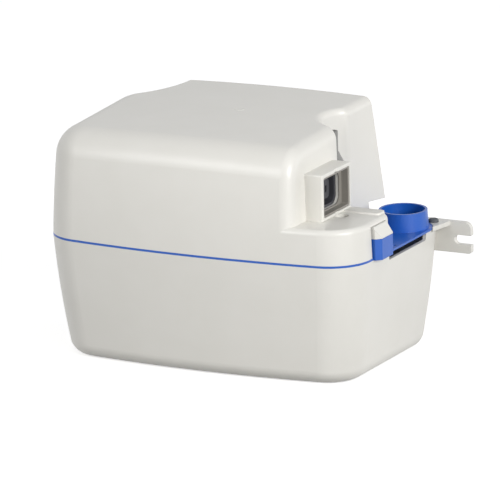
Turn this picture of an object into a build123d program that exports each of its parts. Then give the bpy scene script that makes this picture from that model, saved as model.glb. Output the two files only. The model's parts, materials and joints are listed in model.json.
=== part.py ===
"""Condensate tank pump: a moulded tank on two wall lugs, a lid plate that carries the pump,
the float switch, the check valve and the inlet cup, and a removable top cover.

Frame: +Z up, +X along the body towards the inlet cup, +Y towards the wall.
Origin: centre of the underside of the tank. Lengths in millimetres.
"""

import os
from math import atan, cos, degrees, radians, sin, sqrt

from build123d import *

os.makedirs("parts", exist_ok=True)

# ---------------------------------------------------------------- driving dimensions
body_length = 228.0        # tank and cover, end to end
body_depth = 146.0         # wall side to the crest of the bowed front
front_bow = 8.4            # how far the front bows out between its corners
front_corner = 28.0        # plan radius of the front corners
back_corner = 20.0         # plan radius of the back corners
wall = 2.5                 # moulded wall of tank and cover
seam = 0.3                 # clearance between separate mouldings
running = 0.08             # radial clearance of a shaft, pin or rod in its bore
press = 0.02               # radial gap where a piece is pressed home
close_fit = 0.1            # gap where a pipe or stem is seated by hand
overlap = 1.0              # how far a cut or a joined form runs past the face it meets
corner_share = 0.3         # how much of an inset is taken off a corner's radius
skin_share = 0.7           # how much of a wall is taken off a corner's radius inside
round_share = 0.6          # the same for a small rounding

tank_height = 81.0         # tank rim, where the lid plate rests
tank_draft = 5.0           # straight draft of the tank walls over their height
tank_belly = 4.0           # further curve of the walls towards the foot
tank_foot_radius = 11.0    # rounding along the foot
tank_floor = 3.0           # thickness of the tank floor
overflow_width = 54.6      # overflow opening in the right end wall
overflow_height = 5.5
overflow_y = 15.3          # centre of the overflow opening

plate_edge = 1.5           # blue edge seen between tank and cover
plate_depth = 3.0          # lid plate inside the tank rim
skirt_depth = 4.0          # locating skirt under the lid plate
skirt_wall = 2.0
cup_from_end, cup_from_back = 17.4, 28.7   # axis of the inlet cup
cup_radius = 16.0          # outer radius of the cup at its rim
cup_flare = 0.8            # extra radius at the cup's base
cup_wall = 1.7
cup_height = 12.0
end_flange = 1.6           # how far the plate stands out over the overflow opening
flange_root = 10.0

cover_rise = 78.5          # cover height at the back, over the lid plate
end_lean = 3.0             # draft of the left end over the cover's height
front_lean = 9.0           # how far the front face curves back at the top
top_tilt = 2.4             # forward slope of the top face, degrees
top_crown = 3.6            # rise of the top face between its ends
top_round = 21.0           # rounding between top, front and left end
loft_over = 9.0            # how far the walls run past the top face before it cuts them
lobe_from_end = 42.0       # right end face of the tall part at the front
lobe_lean = 2.0
lobe_round = 9.0
back_lobe_from_end = 43.0  # right end face of the tall part behind the cove
back_lobe_lean = 11.0
back_lobe_round = 6.0
cove_from_end, cove_y = 42.5, 25.5    # axis of the hose cove in the right end
cove_radius = 21.7
cove_edge = 53.0               # where the cove's back edge stands on its circle, degrees
cove_round = 4.0
scallop_out, scallop_behind = 12.6, 5.0   # axis of the relief, out from the back left corner
scallop_radius = 51.0
scallop_round = 4.0
platform_height = 23.1     # low part of the cover in front of the cup
platform_back = -4.0       # its back face
platform_round = 3.5
platform_corner = 11.0
strip_width = 11.0         # raised strip along the platform's back edge
strip_height = 1.2
strip_corner = 3.0
strip_taper = 12.0
strip_from_end = 5.0
strip_inset = 1.5
cable_notch_width = 14.0   # notch for pipe or cable, low in the back lobe
cable_notch_height = 10.0

hood_from_end = 30.5       # outer face of the hood round the power socket
socket_hood_width = 42.0   # along Y
socket_hood_height = 31.0
socket_hood_y = -25.6      # centre of the hood
socket_recess = 6.5        # depth of the recess
socket_frame = 2.2         # wall of the hood
hood_edge = 1.0
recess_corner = 1.5
port_wall = 1.7            # wall between the recess and the inside of the cover
socket_width = 34.0        # power socket body, along Y
socket_height = 25.0
socket_depth = 16.0

latch_y = -26.5            # centre of the latch tower
latch_width = 19.0
latch_reach = 5.0          # how far the tower and its button stand out past the body's end
latch_tower_length = 15.0
latch_tower_height = 12.5
latch_travel = 2.5
latch_chamfer = 3.5

lug_reach = 133.5          # outer end of a wall lug, from the middle of the body
lug_thickness = 4.0
lug_height = 21.0
lug_round = 5.0
lug_shelf = 3.0
shelf_out = 4.5            # shelf that joins a lug to the body's corner
shelf_run = 9.0
shelf_root = 3.0
slot_width = 6.3           # open-ended screw slot
slot_depth = 12.0
slot_z = 70.5

motor_y = -4.0             # pump and motor axis, on the body's middle plane
stack_width = 50.0         # shaded-pole lamination stack, along X
stack_thickness = 20.0
stack_front = 24.0         # from the axis to the front edge
stack_back = 48.0          # from the axis to the outer edge of the coil leg
stack_lift = 15.0          # stack above the lid plate
rotor_radius = 13.6
air_gap = 0.4
coil_leg = 10.0            # width of the leg that carries the coil
coil_window = 19.0         # gap between the pole body and the coil leg
bobbin_wall = 1.2
bobbin_gap = 0.2           # between the coil leg and the bobbin
coil_gap = 0.05            # between the bobbin and the winding
coil_build = 7.0           # depth of the winding
stack_corner = 2.0
stack_bore = 1.6           # screw holes through the stack
post_inset = 5.0           # screws, in from the stack's ends and its front
post_back = 21.0           # screws behind the motor axis
ring_offset = 4.2          # shading rings beyond the rotor
ring_wire = 1.4
ring_width, ring_shift = 7.0, 2.5
ring_slot = 1.8
standoff_radius = 3.2
motor_screw_radius, motor_screw_head, motor_screw_top = 1.5, 3.0, 2.2
bracket_rise = 9.0         # motor bracket's bridge over the stack
bracket_plate = 3.0
bracket_foot, bracket_bend = 5.0, 3.0
bracket_width = 13.0
bearing_radius, bearing_length = 4.5, 5.0
hub_radius = 6.5
rotor_over = 1.0           # rotor beyond each side of the stack
shaft_radius = 2.5
fan_radius = 24.0
fan_height = 8.0
fan_blades = 8
fan_hub, fan_disc = 6.5, 1.5
fan_gap = 2.0              # fan above the upper bracket
fan_sweep = 12.0           # how far the blades lean back, degrees
blade_thickness = 1.4
blade_curve = 0.4          # share of the lean reached halfway out
slinger_radius, slinger_thickness, slinger_gap = 6.0, 1.2, 0.8

impeller_radius = 17.0
impeller_height = 7.0
impeller_vanes = 5
impeller_disc, impeller_hub = 1.5, 2.0
impeller_gap = 1.0         # impeller above the casing's floor
impeller_sweep = 50.0
volute_radius = 27.0
volute_height = 15.0
volute_bottom = 8.0        # underside of the pump casing above the outside of the foot
volute_floor = 3.0         # thickness of the casing's cover
chamber_wall = 5.0         # casing round the impeller's chamber
chamber_room = 2.5         # chamber above the impeller's top
tube_radius = 8.0          # tube that carries the shaft down from the lid plate
tube_bore = 4.5
tube_flange, tube_flange_thickness = 15.0, 3.0
rib_thickness, rib_rise, rib_inset = 2.0, 18.0, 4.0
drain_width, drain_height, drain_lift = 8.0, 22.0, 4.0
ear_radius, ear_inset, ear_count = 4.0, 1.0, 3
ear_start = 150.0          # where the first screw ear stands, degrees
pilot_radius, pilot_depth = 1.3, 9.0
casing_screw, casing_screw_length = 1.2, 10.0
casing_screw_head, casing_screw_cone = 2.6, 1.4
screw_clearance = 0.4
suction_lip, suction_lip_wall = 2.0, 2.0
outlet_reach = 32.0        # end of the casing's outlet
sleeve_length, sleeve_wall, sleeve_depth = 8.0, 2.0, 6.0
pipe_gap = 0.5             # pipe's end clear of the bottom of its seat
suction_radius = 7.0
outlet_radius = 4.0        # bore of the discharge pipe
pipe_wall = 1.5
pipe_bend = 15.0
valve_from_end, valve_y = 53.0, 16.0  # axis of the riser, check valve and discharge nipple
valve_radius = 6.5
valve_height = 47.4        # lid plate to the foot of the cone
cone_height = 6.3
nipple_radius = 2.9
nipple_length = 14.0
nipple_wall = 1.2
seat_height = 10.0         # ball's seat above the lid plate
seal_wall, seal_thickness = 0.7, 1.0
ball_radius = 4.2
seat_radius = 3.2          # bore under the ball
ball_gap = 0.8             # round the ball in its chamber
bezel_wall = 1.2           # grey bezel that lines the socket's hood
ball_lift = 5.0

float_x, float_y = -52.0, 0.0  # axis of the float and its rod
float_radius = 19.0
float_height = 26.0
float_bottom = 12.0
float_edge = 4.0
clip_radius, clip_thickness = 5.0, 1.2
rod_end = 3.0              # rod below the float
rod_radius = 2.5
lever_length = 38.0        # lever pivot to the float rod
lever_tail = 5.0           # lever pivot to the switch plungers
lever_thickness = 1.2
lever_gap = 0.15           # lever above the run plunger at rest
lever_nose, lever_shoulder, lever_neck = 2.0, 4.0, 6.0
lever_end = 4.0            # half the width of the lever's end, and its reach past the rod
lever_side = 0.5           # lever clear of the bracket's cheeks
lever_hub = 1.2
pivot_rise = 21.5          # lever pivot above the lid plate
pivot_radius = 1.5
switch_length, switch_thick, switch_tall = 27.8, 10.3, 15.9
switch_pitch = 14.0        # distance between the two switches
switch_edge = 0.8
plunger_radius, plunger_edge = 1.2, 0.4
plunger_seat = 8.0         # depth of the plunger's bore
plunger_hidden = 3.9       # plunger inside the switch at full travel
run_travel, alarm_travel = 2.3, 1.0
alarm_drop = 1.3           # the alarm plunger stands this much lower
body_lead = 11.0           # switch body from its inner end to its plunger
pin_inset, pin_rise = 4.0, 5.0
pin_end = 1.0
cheek_thickness = 2.5
cheek_gap = 1.0
cheek_front, cheek_back = 14.0, 10.0
cheek_half, cheek_cap = 4.0, 3.5
bracket_floor = 2.0
bracket_margin = 1.0

plug_from_end, plug_from_back = 4.5, 10.0   # rubber plug in the tank's corner shelf
plug_head, plug_stem = 3.4, 2.2
plug_cap, plug_round = 2.4, 1.5
vent_from_end, vent_y = 2.0, -1.0   # small vent hole in the plate's edge
vent_radius = 1.4
guide_depth = 9.0              # float rod guide below the lid plate
guide_wall = 3.0
guide_rise = 3.0
riser_socket = 8.0             # socket for the discharge pipe below the lid plate
riser_wall = 2.0
riser_stop = 1.0               # plate left over the end of the pipe
screw_from_end, screw_y = 27.0, -26.0 # cover screw in the platform
screw_radius = 1.75
pillar_height = 10.5
pillar_radius = 4.5
pillar_floor = 3.0
shaft_gap = 1.0                # round the shaft where it passes the lid plate
tab_x = 40.0                   # tabs on the lid plate that locate the cover
tab_length, tab_thickness, tab_height = 18.0, 2.0, 4.0
button_stem = 4.0
spring_room = 2.5              # behind the button's stem at full travel
pocket_length = button_stem + latch_travel + spring_room
pocket_width, pocket_depth = 12.0, 9.0
pocket_wall = 3.5
button_length, button_slope, button_rim, button_gap = 10.0, 4.5, 1.0, 1.0
latch_gap = 1.3                # slit beside the latch tower
boss_depth = 11.5              # cover screw boss below the platform
boss_radius = 6.0
screw_head = 3.4
head_height, head_round, head_gap = 2.3, 1.4, 1.0
recess_depth = 3.0
screw_reach = 15.0
port_width, port_height, port_corner = 29.0, 22.0, 6.0
cable_notch_length = 18.0
socket_pocket = 12.0           # depth of the power socket's mouth
socket_corner = 3.0
mouth_inset, core_inset = 1.5, 4.5   # socket's mouth and core, in from the port
core_corner, core_gap = 3.5, 2.0
contact_pitch, contact_rise = 5.0, 2.5
contact_width, contact_height, contact_wall = 2.0, 4.0, 0.4
contact_gap = 0.2
contact_back, contact_length = 3.0, 9.0
bezel_floor, bezel_inset = 1.0, 0.6
shelf_thickness, leg_length, leg_thickness, foot_length = 2.5, 10.0, 3.0, 14.0
leg_inset, foot_margin, foot_thickness = 2.0, 1.5, 2.0
terminal_x, terminal_y = 20.0, -50.0
terminal_length, terminal_width, terminal_height = 30.0, 12.0, 13.0
terminal_slope = 2.5
terminal_pitch, terminal_count = 7.0, 4
well_radius, well_depth = 2.0, 4.5
terminal_screw, terminal_screw_height = 1.9, 1.8

# ---------------------------------------------------------------- derived places
half_length = body_length / 2
back_y = body_depth / 2
front_y = front_bow - body_depth / 2      # front corners, where the bow starts
rim_z = tank_height
deck_z = rim_z + plate_edge               # top of the lid plate, foot of the cover
plate_z = deck_z - plate_depth            # underside of the lid plate
cup_x, cup_y = half_length - cup_from_end, back_y - cup_from_back
lobe_x = half_length - lobe_from_end
back_lobe_x = half_length - back_lobe_from_end
cove_x = half_length - cove_from_end
scallop_x, scallop_y = -half_length - scallop_out, back_y + scallop_behind
socket_hood_x = half_length - hood_from_end
latch_face_x = half_length + latch_reach
valve_x = half_length - valve_from_end
plug_x, plug_y = half_length - plug_from_end, back_y - plug_from_back
vent_x = half_length - vent_from_end
screw_x = half_length - screw_from_end
strip_end = half_length - strip_from_end
platform_z = deck_z + platform_height
top_z = deck_z + cover_rise
cup_flange = half_length + end_flange - cup_x     # lid plate's radius round the cup
cup_bore = cup_radius - cup_wall
hood_z = platform_z + socket_hood_height / 2      # centre of the socket hood
port_x = socket_hood_x - socket_recess            # floor of the socket recess
socket_front = port_x - port_wall - seam
tower_x = latch_face_x - latch_tower_length       # inner face of the latch tower
tower_z = deck_z + latch_tower_height
pocket_x = latch_face_x - pocket_wall - pocket_length / 2  # centre of the pocket in the tower
button_back = latch_face_x - button_length
button_foot = tower_z - pocket_depth + button_gap
stem_face = pocket_x + pocket_length / 2 - seam
pipe_radius = outlet_radius + pipe_wall
stack_bottom = deck_z + stack_lift
stack_top = stack_bottom + stack_thickness
fan_bottom = stack_top + bracket_rise + bracket_plate + fan_gap
pump_z = volute_bottom + volute_floor             # floor of the volute
outlet_z = pump_z + pipe_radius + seam
valve_seat_z = deck_z + seat_height
valve_split_z = valve_seat_z + 2 * ball_radius
pivot_x = float_x - lever_length
pivot_z = deck_z + pivot_rise
plunger_x = pivot_x - lever_tail
switch_top = deck_z + bracket_floor + switch_tall
upward = (Align.CENTER, Align.CENTER, Align.MIN)
downward = (Align.CENTER, Align.CENTER, Align.MAX)


def finish(piece, name):
    """Label one finished piece and write it to its own file."""
    piece.part.label = name
    export_step(piece.part, f"parts/{name}.step")


# ---------------------------------------------------------------- body outlines
def body_outline(z, inset, front_inset, back_inset, r_front, r_back):
    """Plan of the body at height z: straight ends and back, a bowed front."""
    x = half_length - inset
    y_front = front_y + front_inset
    y_back = back_y - back_inset
    with BuildSketch(Plane.XY.offset(z)) as plan:
        with BuildLine():
            ThreePointArc((-x, y_front), (0, y_front - front_bow), (x, y_front))
            Polyline((x, y_front), (x, y_back), (-x, y_back), (-x, y_front))
        make_face()
        fillet(plan.vertices().group_by(Axis.Y)[0], r_front)
        if r_back:
            fillet(plan.vertices().group_by(Axis.Y)[-1], r_back)
    return plan.sketch


def tank_section(z, skin):
    """Tank plan at height z, drawn in by the draft and the belly, then by skin."""
    fall = (rim_z - z) / rim_z
    inset = tank_draft * fall + tank_belly * fall**2 + skin
    return body_outline(z, inset, inset, inset, front_corner - corner_share * inset - skin_share * skin,
                        back_corner - corner_share * inset - skin_share * skin)


def rim_outline(z, skin):
    """Plan of the tank rim, drawn in by skin."""
    return body_outline(z, skin, skin, skin, front_corner - skin, back_corner - skin)


def tank_form(foot, top, skin):
    """Closed tank shape from foot to top with its rounded foot."""
    heights = (foot, rim_z / 3, rim_z)
    with BuildPart() as form:
        loft(sections=[tank_section(z, skin) for z in heights])
        fillet(form.edges().group_by(Axis.Z)[0], tank_foot_radius - skin)
        if top > rim_z:
            extrude(rim_outline(rim_z, skin), amount=top - rim_z)
    return form.part


def cover_section(z, skin):
    """Cover plan at height z, running on behind the back face, where it is cut later."""
    rise = (z - deck_z) / cover_rise
    front_inset = front_lean * rise**2 + skin
    return body_outline(z, end_lean * rise + skin, front_inset, -back_corner,
                        front_corner - corner_share * front_inset - skin_share * skin, 0)


def above_top(skin):
    """Everything above the crowned, forward-sloping top face."""
    reach = half_length + back_corner
    radius = (half_length**2 + top_crown**2) / (2 * top_crown)
    drop = radius - sqrt(radius**2 - reach**2)
    normal = Vector(0, -1, 0).rotate(Axis.X, top_tilt)
    with BuildPart() as block:
        with BuildSketch(Plane((0, back_y, top_z - skin), x_dir=(1, 0, 0), z_dir=normal)):
            with BuildLine():
                ThreePointArc((-reach, -drop), (0, 0), (reach, -drop))
                Polyline((reach, -drop), (reach, cover_rise), (-reach, cover_rise), (-reach, -drop))
            make_face()
        extrude(amount=2 * body_depth, both=True)
    return block.part


def end_plane(x, lean):
    """Plane of a right end face that stands at x on the deck and leans back by lean."""
    tilt = degrees(atan(lean / cover_rise))
    return Plane((x, 0, deck_z), z_dir=Vector(1, 0, 0).rotate(Axis.Y, -tilt))


def behind_cove(skin):
    """Everything outside the right end behind the cove: its face twists from the cove's upright
    edge to the leaning edge at the back."""
    edge_x = cove_x - (cove_radius + skin) * cos(radians(cove_edge))
    edge_y = cove_y + (cove_radius + skin) * sin(radians(cove_edge))
    sections = []
    for z in (deck_z - overlap, top_z + back_corner):
        end_x = back_lobe_x - back_lobe_lean * (z - deck_z) / cover_rise - skin
        with BuildSketch(Plane.XY.offset(z)) as plan:
            with BuildLine():
                Polyline((edge_x, edge_y), (end_x, back_y), (end_x, back_y + back_corner),
                         (body_length, back_y + back_corner), (body_length, cove_y),
                         (cove_x, cove_y), close=True)
            make_face()
        sections.append(plan.sketch)
    with BuildPart() as block:
        loft(sections=sections, ruled=True)
    return block.part


def upper_edges(face, y_low, y_high):
    """Edges of an end face that don't lie on the deck, between two Y values."""
    edges = face.edges().filter_by(lambda e: e.center().Z > deck_z + overlap)
    return edges.filter_by(lambda e: y_low < e.center().Y < y_high)


def edges_on_cylinder(part, x, y, radius):
    """Edges above the deck that lie on an upright cylinder."""
    def on_it(edge):
        offsets = [sqrt((p.X - x)**2 + (p.Y - y)**2) - radius for p in (edge @ 0, edge @ 0.5, edge @ 1)]
        return max(map(abs, offsets)) < 0.01 and edge.center().Z > deck_z + overlap
    return part.edges().filter_by(on_it)


def tall_form(skin):
    """The tall part of the cover: rounded top, two end lobes, hose cove and scallop."""
    lobe_end = end_plane(lobe_x - skin, lobe_lean)
    with BuildPart() as form:
        loft(sections=[cover_section(z, skin) for z in (deck_z, deck_z + cover_rise / 2, top_z + loft_over)])
        add(above_top(skin), mode=Mode.SUBTRACT)
        top_edges = form.faces().sort_by(Axis.Z)[-1].edges()
        fillet(top_edges.filter_by(lambda e: e.center().Y < back_y), top_round - skin)
        split(bisect_by=Plane.XZ.offset(skin - back_y), keep=Keep.TOP)
        split(bisect_by=lobe_end, keep=Keep.BOTTOM)
        lobe_face = form.faces().sort_by(Axis.X)[-1]
        fillet(upper_edges(lobe_face, -body_depth, back_y - skin - overlap), lobe_round - skin)
        add(behind_cove(skin), mode=Mode.SUBTRACT)
        back_edge = back_y - skin - overlap
        face_middle = (back_lobe_x - back_lobe_lean / 2 - skin, back_edge, deck_z + cover_rise / 2)
        back_face = form.faces().sort_by_distance(face_middle)[0]
        rounding = back_lobe_round - round_share * skin
        fillet(upper_edges(back_face, cove_y + overlap, back_edge), rounding)
        with Locations((cove_x, cove_y, deck_z)):
            Cylinder(cove_radius + skin, 3 * cover_rise, mode=Mode.SUBTRACT)
        with Locations((scallop_x, scallop_y, deck_z)):
            Cylinder(scallop_radius + skin, 3 * cover_rise, mode=Mode.SUBTRACT)
        if skin == 0:
            fillet(edges_on_cylinder(form, cove_x, cove_y, cove_radius), cove_round)
            fillet(edges_on_cylinder(form, scallop_x, scallop_y, scallop_radius), scallop_round)
    return form.part


def platform_form(skin):
    """The low part of the cover, between the tall part and the right end."""
    with BuildPart() as form:
        loft(sections=[cover_section(z, skin) for z in (deck_z, deck_z + cover_rise / 2, top_z)])
        split(bisect_by=Plane.XY.offset(platform_z - skin), keep=Keep.BOTTOM)
        split(bisect_by=Plane.YZ.offset(lobe_x - 2 * lobe_round), keep=Keep.TOP)
        split(bisect_by=Plane.XZ.offset(skin - platform_back), keep=Keep.TOP)
        back_corners = form.edges().filter_by(lambda e: e.center().Z < platform_z - skin - overlap
                                              and e.center().Z > deck_z + overlap
                                              and e.center().Y > platform_back - skin - overlap)
        fillet(back_corners.sort_by(Axis.X)[-1], platform_corner - skin)
        top_rim = form.faces().sort_by(Axis.Z)[-1].edges()
        outer_rim = top_rim.filter_by(lambda e: e.center().X > lobe_x - 2 * lobe_round + overlap)
        fillet(outer_rim, platform_round - round_share * skin)
    return form.part


def lug_form():
    """One wall lug: an upright plate in the wall plane with an open-ended screw slot."""
    inner_x = half_length - back_corner
    lug_z = deck_z - lug_height / 2
    with BuildPart() as form:
        with BuildSketch(Plane.XZ.offset(-back_y)):
            with Locations(((inner_x + lug_reach) / 2, lug_z)):
                Rectangle(lug_reach - inner_x, lug_height)
        extrude(amount=lug_thickness)
        outer = form.edges().filter_by(Axis.Y).group_by(Axis.X)[-1]
        fillet(outer.sort_by(Axis.Z)[-1], lug_round)
        fillet(outer.sort_by(Axis.Z)[0], lug_round / 3)
        with BuildSketch(Plane.XZ.offset(-back_y)):
            with Locations((lug_reach - slot_depth + slot_width / 2, slot_z)):
                Circle(slot_width / 2)
            with Locations((lug_reach - slot_depth / 2 + slot_width / 2, slot_z)):
                Rectangle(slot_depth, slot_width)
        extrude(amount=lug_thickness, mode=Mode.SUBTRACT)
    return form.part


def shelf_sketch():
    """Gusset shelf that squares off the body's rounded corner and carries the lug."""
    corner_y = back_y - back_corner
    shelf_x = half_length + shelf_out
    with BuildSketch(Plane.XY.offset(deck_z - lug_shelf)) as plan:
        with BuildLine():
            Polyline((half_length - shelf_root, corner_y - shelf_run), (half_length, corner_y - shelf_run),
                     (shelf_x, back_y - lug_thickness), (shelf_x, back_y),
                     (half_length - back_corner, back_y), close=True)
        make_face()
    return plan.sketch


def plate_corner(clearance):
    """The back right corner that the tank closes itself, outside the plate's cup flange."""
    with BuildSketch(Plane.XY.offset(plate_z - skirt_depth)) as plan:
        with Locations((cup_x + half_length / 2, cup_y + back_y / 2)):
            Rectangle(half_length, back_y)
        with Locations((cup_x, cup_y)):
            Circle(cup_flange + clearance, mode=Mode.SUBTRACT)
    return plan.sketch


def front_wall(x, inset):
    """Y of the bowed front at x, drawn in by inset."""
    return front_y - front_bow * (1 - (x / half_length)**2) + inset


# ---------------------------------------------------------------- tank
right_lug = lug_form()
corner_depth = skirt_depth + plate_depth

with BuildPart() as corner_shelf:
    extrude(rim_outline(deck_z - lug_shelf, 0), amount=lug_shelf)
    extrude(shelf_sketch(), amount=lug_shelf)
    extrude(plate_corner(seam), amount=corner_depth, mode=Mode.INTERSECT)

with BuildPart() as left_shelf:
    extrude(shelf_sketch(), amount=lug_shelf)
    mirror(about=Plane.YZ, mode=Mode.REPLACE)

with BuildPart() as tank:
    add(tank_form(0, rim_z, 0))
    add(right_lug)
    mirror(right_lug, about=Plane.YZ)
    add(left_shelf.part)
    extrude(rim_outline(rim_z, -seam), amount=2 * plate_edge, mode=Mode.SUBTRACT)
    add(tank_form(tank_floor, rim_z + overlap, wall), mode=Mode.SUBTRACT)
    add(corner_shelf.part)
    with Locations((half_length, overflow_y, rim_z)):
        Box(8 * wall, overflow_width, 2 * overflow_height, mode=Mode.SUBTRACT)
    with Locations((plug_x, plug_y, deck_z)):
        Cylinder(plug_stem + seam / 2, 4 * lug_shelf, mode=Mode.SUBTRACT)
finish(tank, "tank")

# rubber plug in the tank's corner shelf
with BuildPart() as corner_plug:
    with Locations((plug_x, plug_y, deck_z)):
        Cylinder(plug_head, plug_cap, align=upward)
        Cylinder(plug_stem, lug_shelf + plug_round, align=downward)
    fillet(corner_plug.edges().group_by(Axis.Z)[-1], plug_round)
finish(corner_plug, "corner_plug")

# ---------------------------------------------------------------- lid plate
tower_y_low = latch_y - latch_width / 2
with BuildPart() as lid_plate:
    extrude(rim_outline(rim_z, 0), amount=plate_edge)
    extrude(tank_section(plate_z - skirt_depth, wall + seam), amount=corner_depth - plate_edge)
    extrude(tank_section(plate_z - skirt_depth, wall + seam + skirt_wall), amount=skirt_depth,
            mode=Mode.SUBTRACT)
    with Locations((half_length, 0, plate_z - skirt_depth)):
        Box(body_length / 4, body_depth, 2 * skirt_depth, mode=Mode.SUBTRACT)
    extrude(plate_corner(0), amount=2 * corner_depth, mode=Mode.SUBTRACT)
    # edge over the overflow opening, and the cup with its flange
    flange_low = overflow_y - overflow_width / 2
    with BuildSketch(Plane.XY.offset(rim_z)):
        with Locations((half_length + end_flange - flange_root / 2, (flange_low + cup_y) / 2)):
            Rectangle(flange_root, cup_y - flange_low)
        with Locations((cup_x, cup_y)):
            Circle(cup_flange)
    extrude(amount=plate_edge)
    with BuildSketch(Plane.XZ.offset(-cup_y)):
        with BuildLine():
            Polyline((cup_x, rim_z), (cup_x + cup_radius, rim_z), (cup_x + cup_radius + cup_flare, deck_z),
                     (cup_x + cup_radius, deck_z + cup_height), (cup_x, deck_z + cup_height), close=True)
        make_face()
    revolve(axis=Axis((cup_x, cup_y, 0), (0, 0, 1)))
    with Locations((cup_x, cup_y, deck_z)):
        Cylinder(cup_bore, 4 * cup_height, mode=Mode.SUBTRACT)
    # latch tower with the button's pocket
    with BuildSketch(Plane.XY.offset(deck_z - plate_edge)):
        with BuildLine():
            Polyline((tower_x, tower_y_low), (latch_face_x - latch_chamfer, tower_y_low),
                     (latch_face_x, tower_y_low + latch_chamfer), (latch_face_x, tower_y_low + latch_width),
                     (tower_x, tower_y_low + latch_width), close=True)
        make_face()
    extrude(amount=plate_edge + latch_tower_height)
    with Locations((pocket_x, latch_y, deck_z + latch_tower_height)):
        Box(pocket_length, pocket_width, 2 * pocket_depth, mode=Mode.SUBTRACT)
    # bosses: float rod guide, riser socket, cover screw pillar
    with Locations((float_x, float_y, plate_z - guide_depth)):
        Cylinder(rod_radius + guide_wall, guide_depth + plate_depth + guide_rise, align=upward)
    with Locations((valve_x, valve_y, plate_z - riser_socket)):
        Cylinder(pipe_radius + close_fit + riser_wall, riser_socket, align=upward)
    with Locations((screw_x, screw_y, deck_z)):
        Cylinder(pillar_radius, pillar_height, align=upward)
    # tabs that locate the cover
    tab_inset = wall + 4 * seam + tab_thickness / 2
    tabs = [(x, front_wall(x, tab_inset)) for x in (-tab_x, tab_x)]
    tabs += [(x, back_y - tab_inset) for x in (-tab_x, tab_x)]
    with Locations(*[(x, y, deck_z) for x, y in tabs]):
        Box(tab_length, tab_thickness, tab_height, align=upward)
    # bores
    with Locations((float_x, float_y, deck_z)):
        Cylinder(rod_radius + running, body_depth, mode=Mode.SUBTRACT)
    with Locations((valve_x, valve_y, deck_z)):
        Cylinder(outlet_radius, 4 * plate_depth, mode=Mode.SUBTRACT)
    with Locations((valve_x, valve_y, plate_z - riser_stop)):
        Cylinder(pipe_radius + close_fit, 2 * riser_socket, mode=Mode.SUBTRACT,
                 align=downward)
    with Locations((0, motor_y, deck_z)):
        Cylinder(shaft_radius + shaft_gap, 4 * plate_depth, mode=Mode.SUBTRACT)
    with Locations((screw_x, screw_y, deck_z + pillar_height)):
        Cylinder(screw_radius + running, 2 * pillar_height - pillar_floor, mode=Mode.SUBTRACT)
    with Locations((vent_x, vent_y, deck_z)):
        Cylinder(vent_radius, 4 * plate_depth, mode=Mode.SUBTRACT)
finish(lid_plate, "lid_plate")

# ---------------------------------------------------------------- latch button
button_top = platform_z - wall - seam
with BuildPart() as latch_button:
    with BuildSketch(Plane.XZ.offset(-latch_y)):
        with BuildLine():
            Polyline((stem_face - button_stem, button_foot), (stem_face, button_foot),
                     (stem_face, tower_z + close_fit), (latch_face_x, tower_z + close_fit),
                     (latch_face_x, tower_z + button_rim), (latch_face_x - button_slope, button_top),
                     (button_back, button_top), (button_back, tower_z + close_fit),
                     (stem_face - button_stem, tower_z + close_fit), close=True)
        make_face()
    extrude(amount=latch_width / 2, both=True)
    with Locations((pocket_x, latch_y - latch_width / 2, button_foot),
                   (pocket_x, latch_y + latch_width / 2, button_foot)):
        Box(pocket_length, latch_width - pocket_width + 2 * seam,
            2 * (tower_z + close_fit - button_foot), mode=Mode.SUBTRACT)
    with BuildSketch(Plane.XY.offset(button_foot)):
        with BuildLine():
            Polyline((latch_face_x - latch_chamfer, tower_y_low), (latch_face_x, tower_y_low),
                     (latch_face_x, tower_y_low + latch_chamfer), close=True)
        make_face()
    extrude(amount=2 * (button_top - button_foot), mode=Mode.SUBTRACT)
finish(latch_button, "latch_button")

# ---------------------------------------------------------------- top cover
hood_inner_y = socket_hood_width - 2 * wall
with BuildPart() as hood:
    with Locations((socket_hood_x, socket_hood_y, hood_z)):
        Box(socket_hood_x - lobe_x + lobe_round, socket_hood_width, socket_hood_height,
            align=(Align.MAX, Align.CENTER, Align.CENTER))
    outer_edges = hood.edges().filter_by(lambda e: e.center().Z > hood_z + overlap
                                         or e.center().X > socket_hood_x - running)
    fillet(outer_edges, hood_edge)

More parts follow.
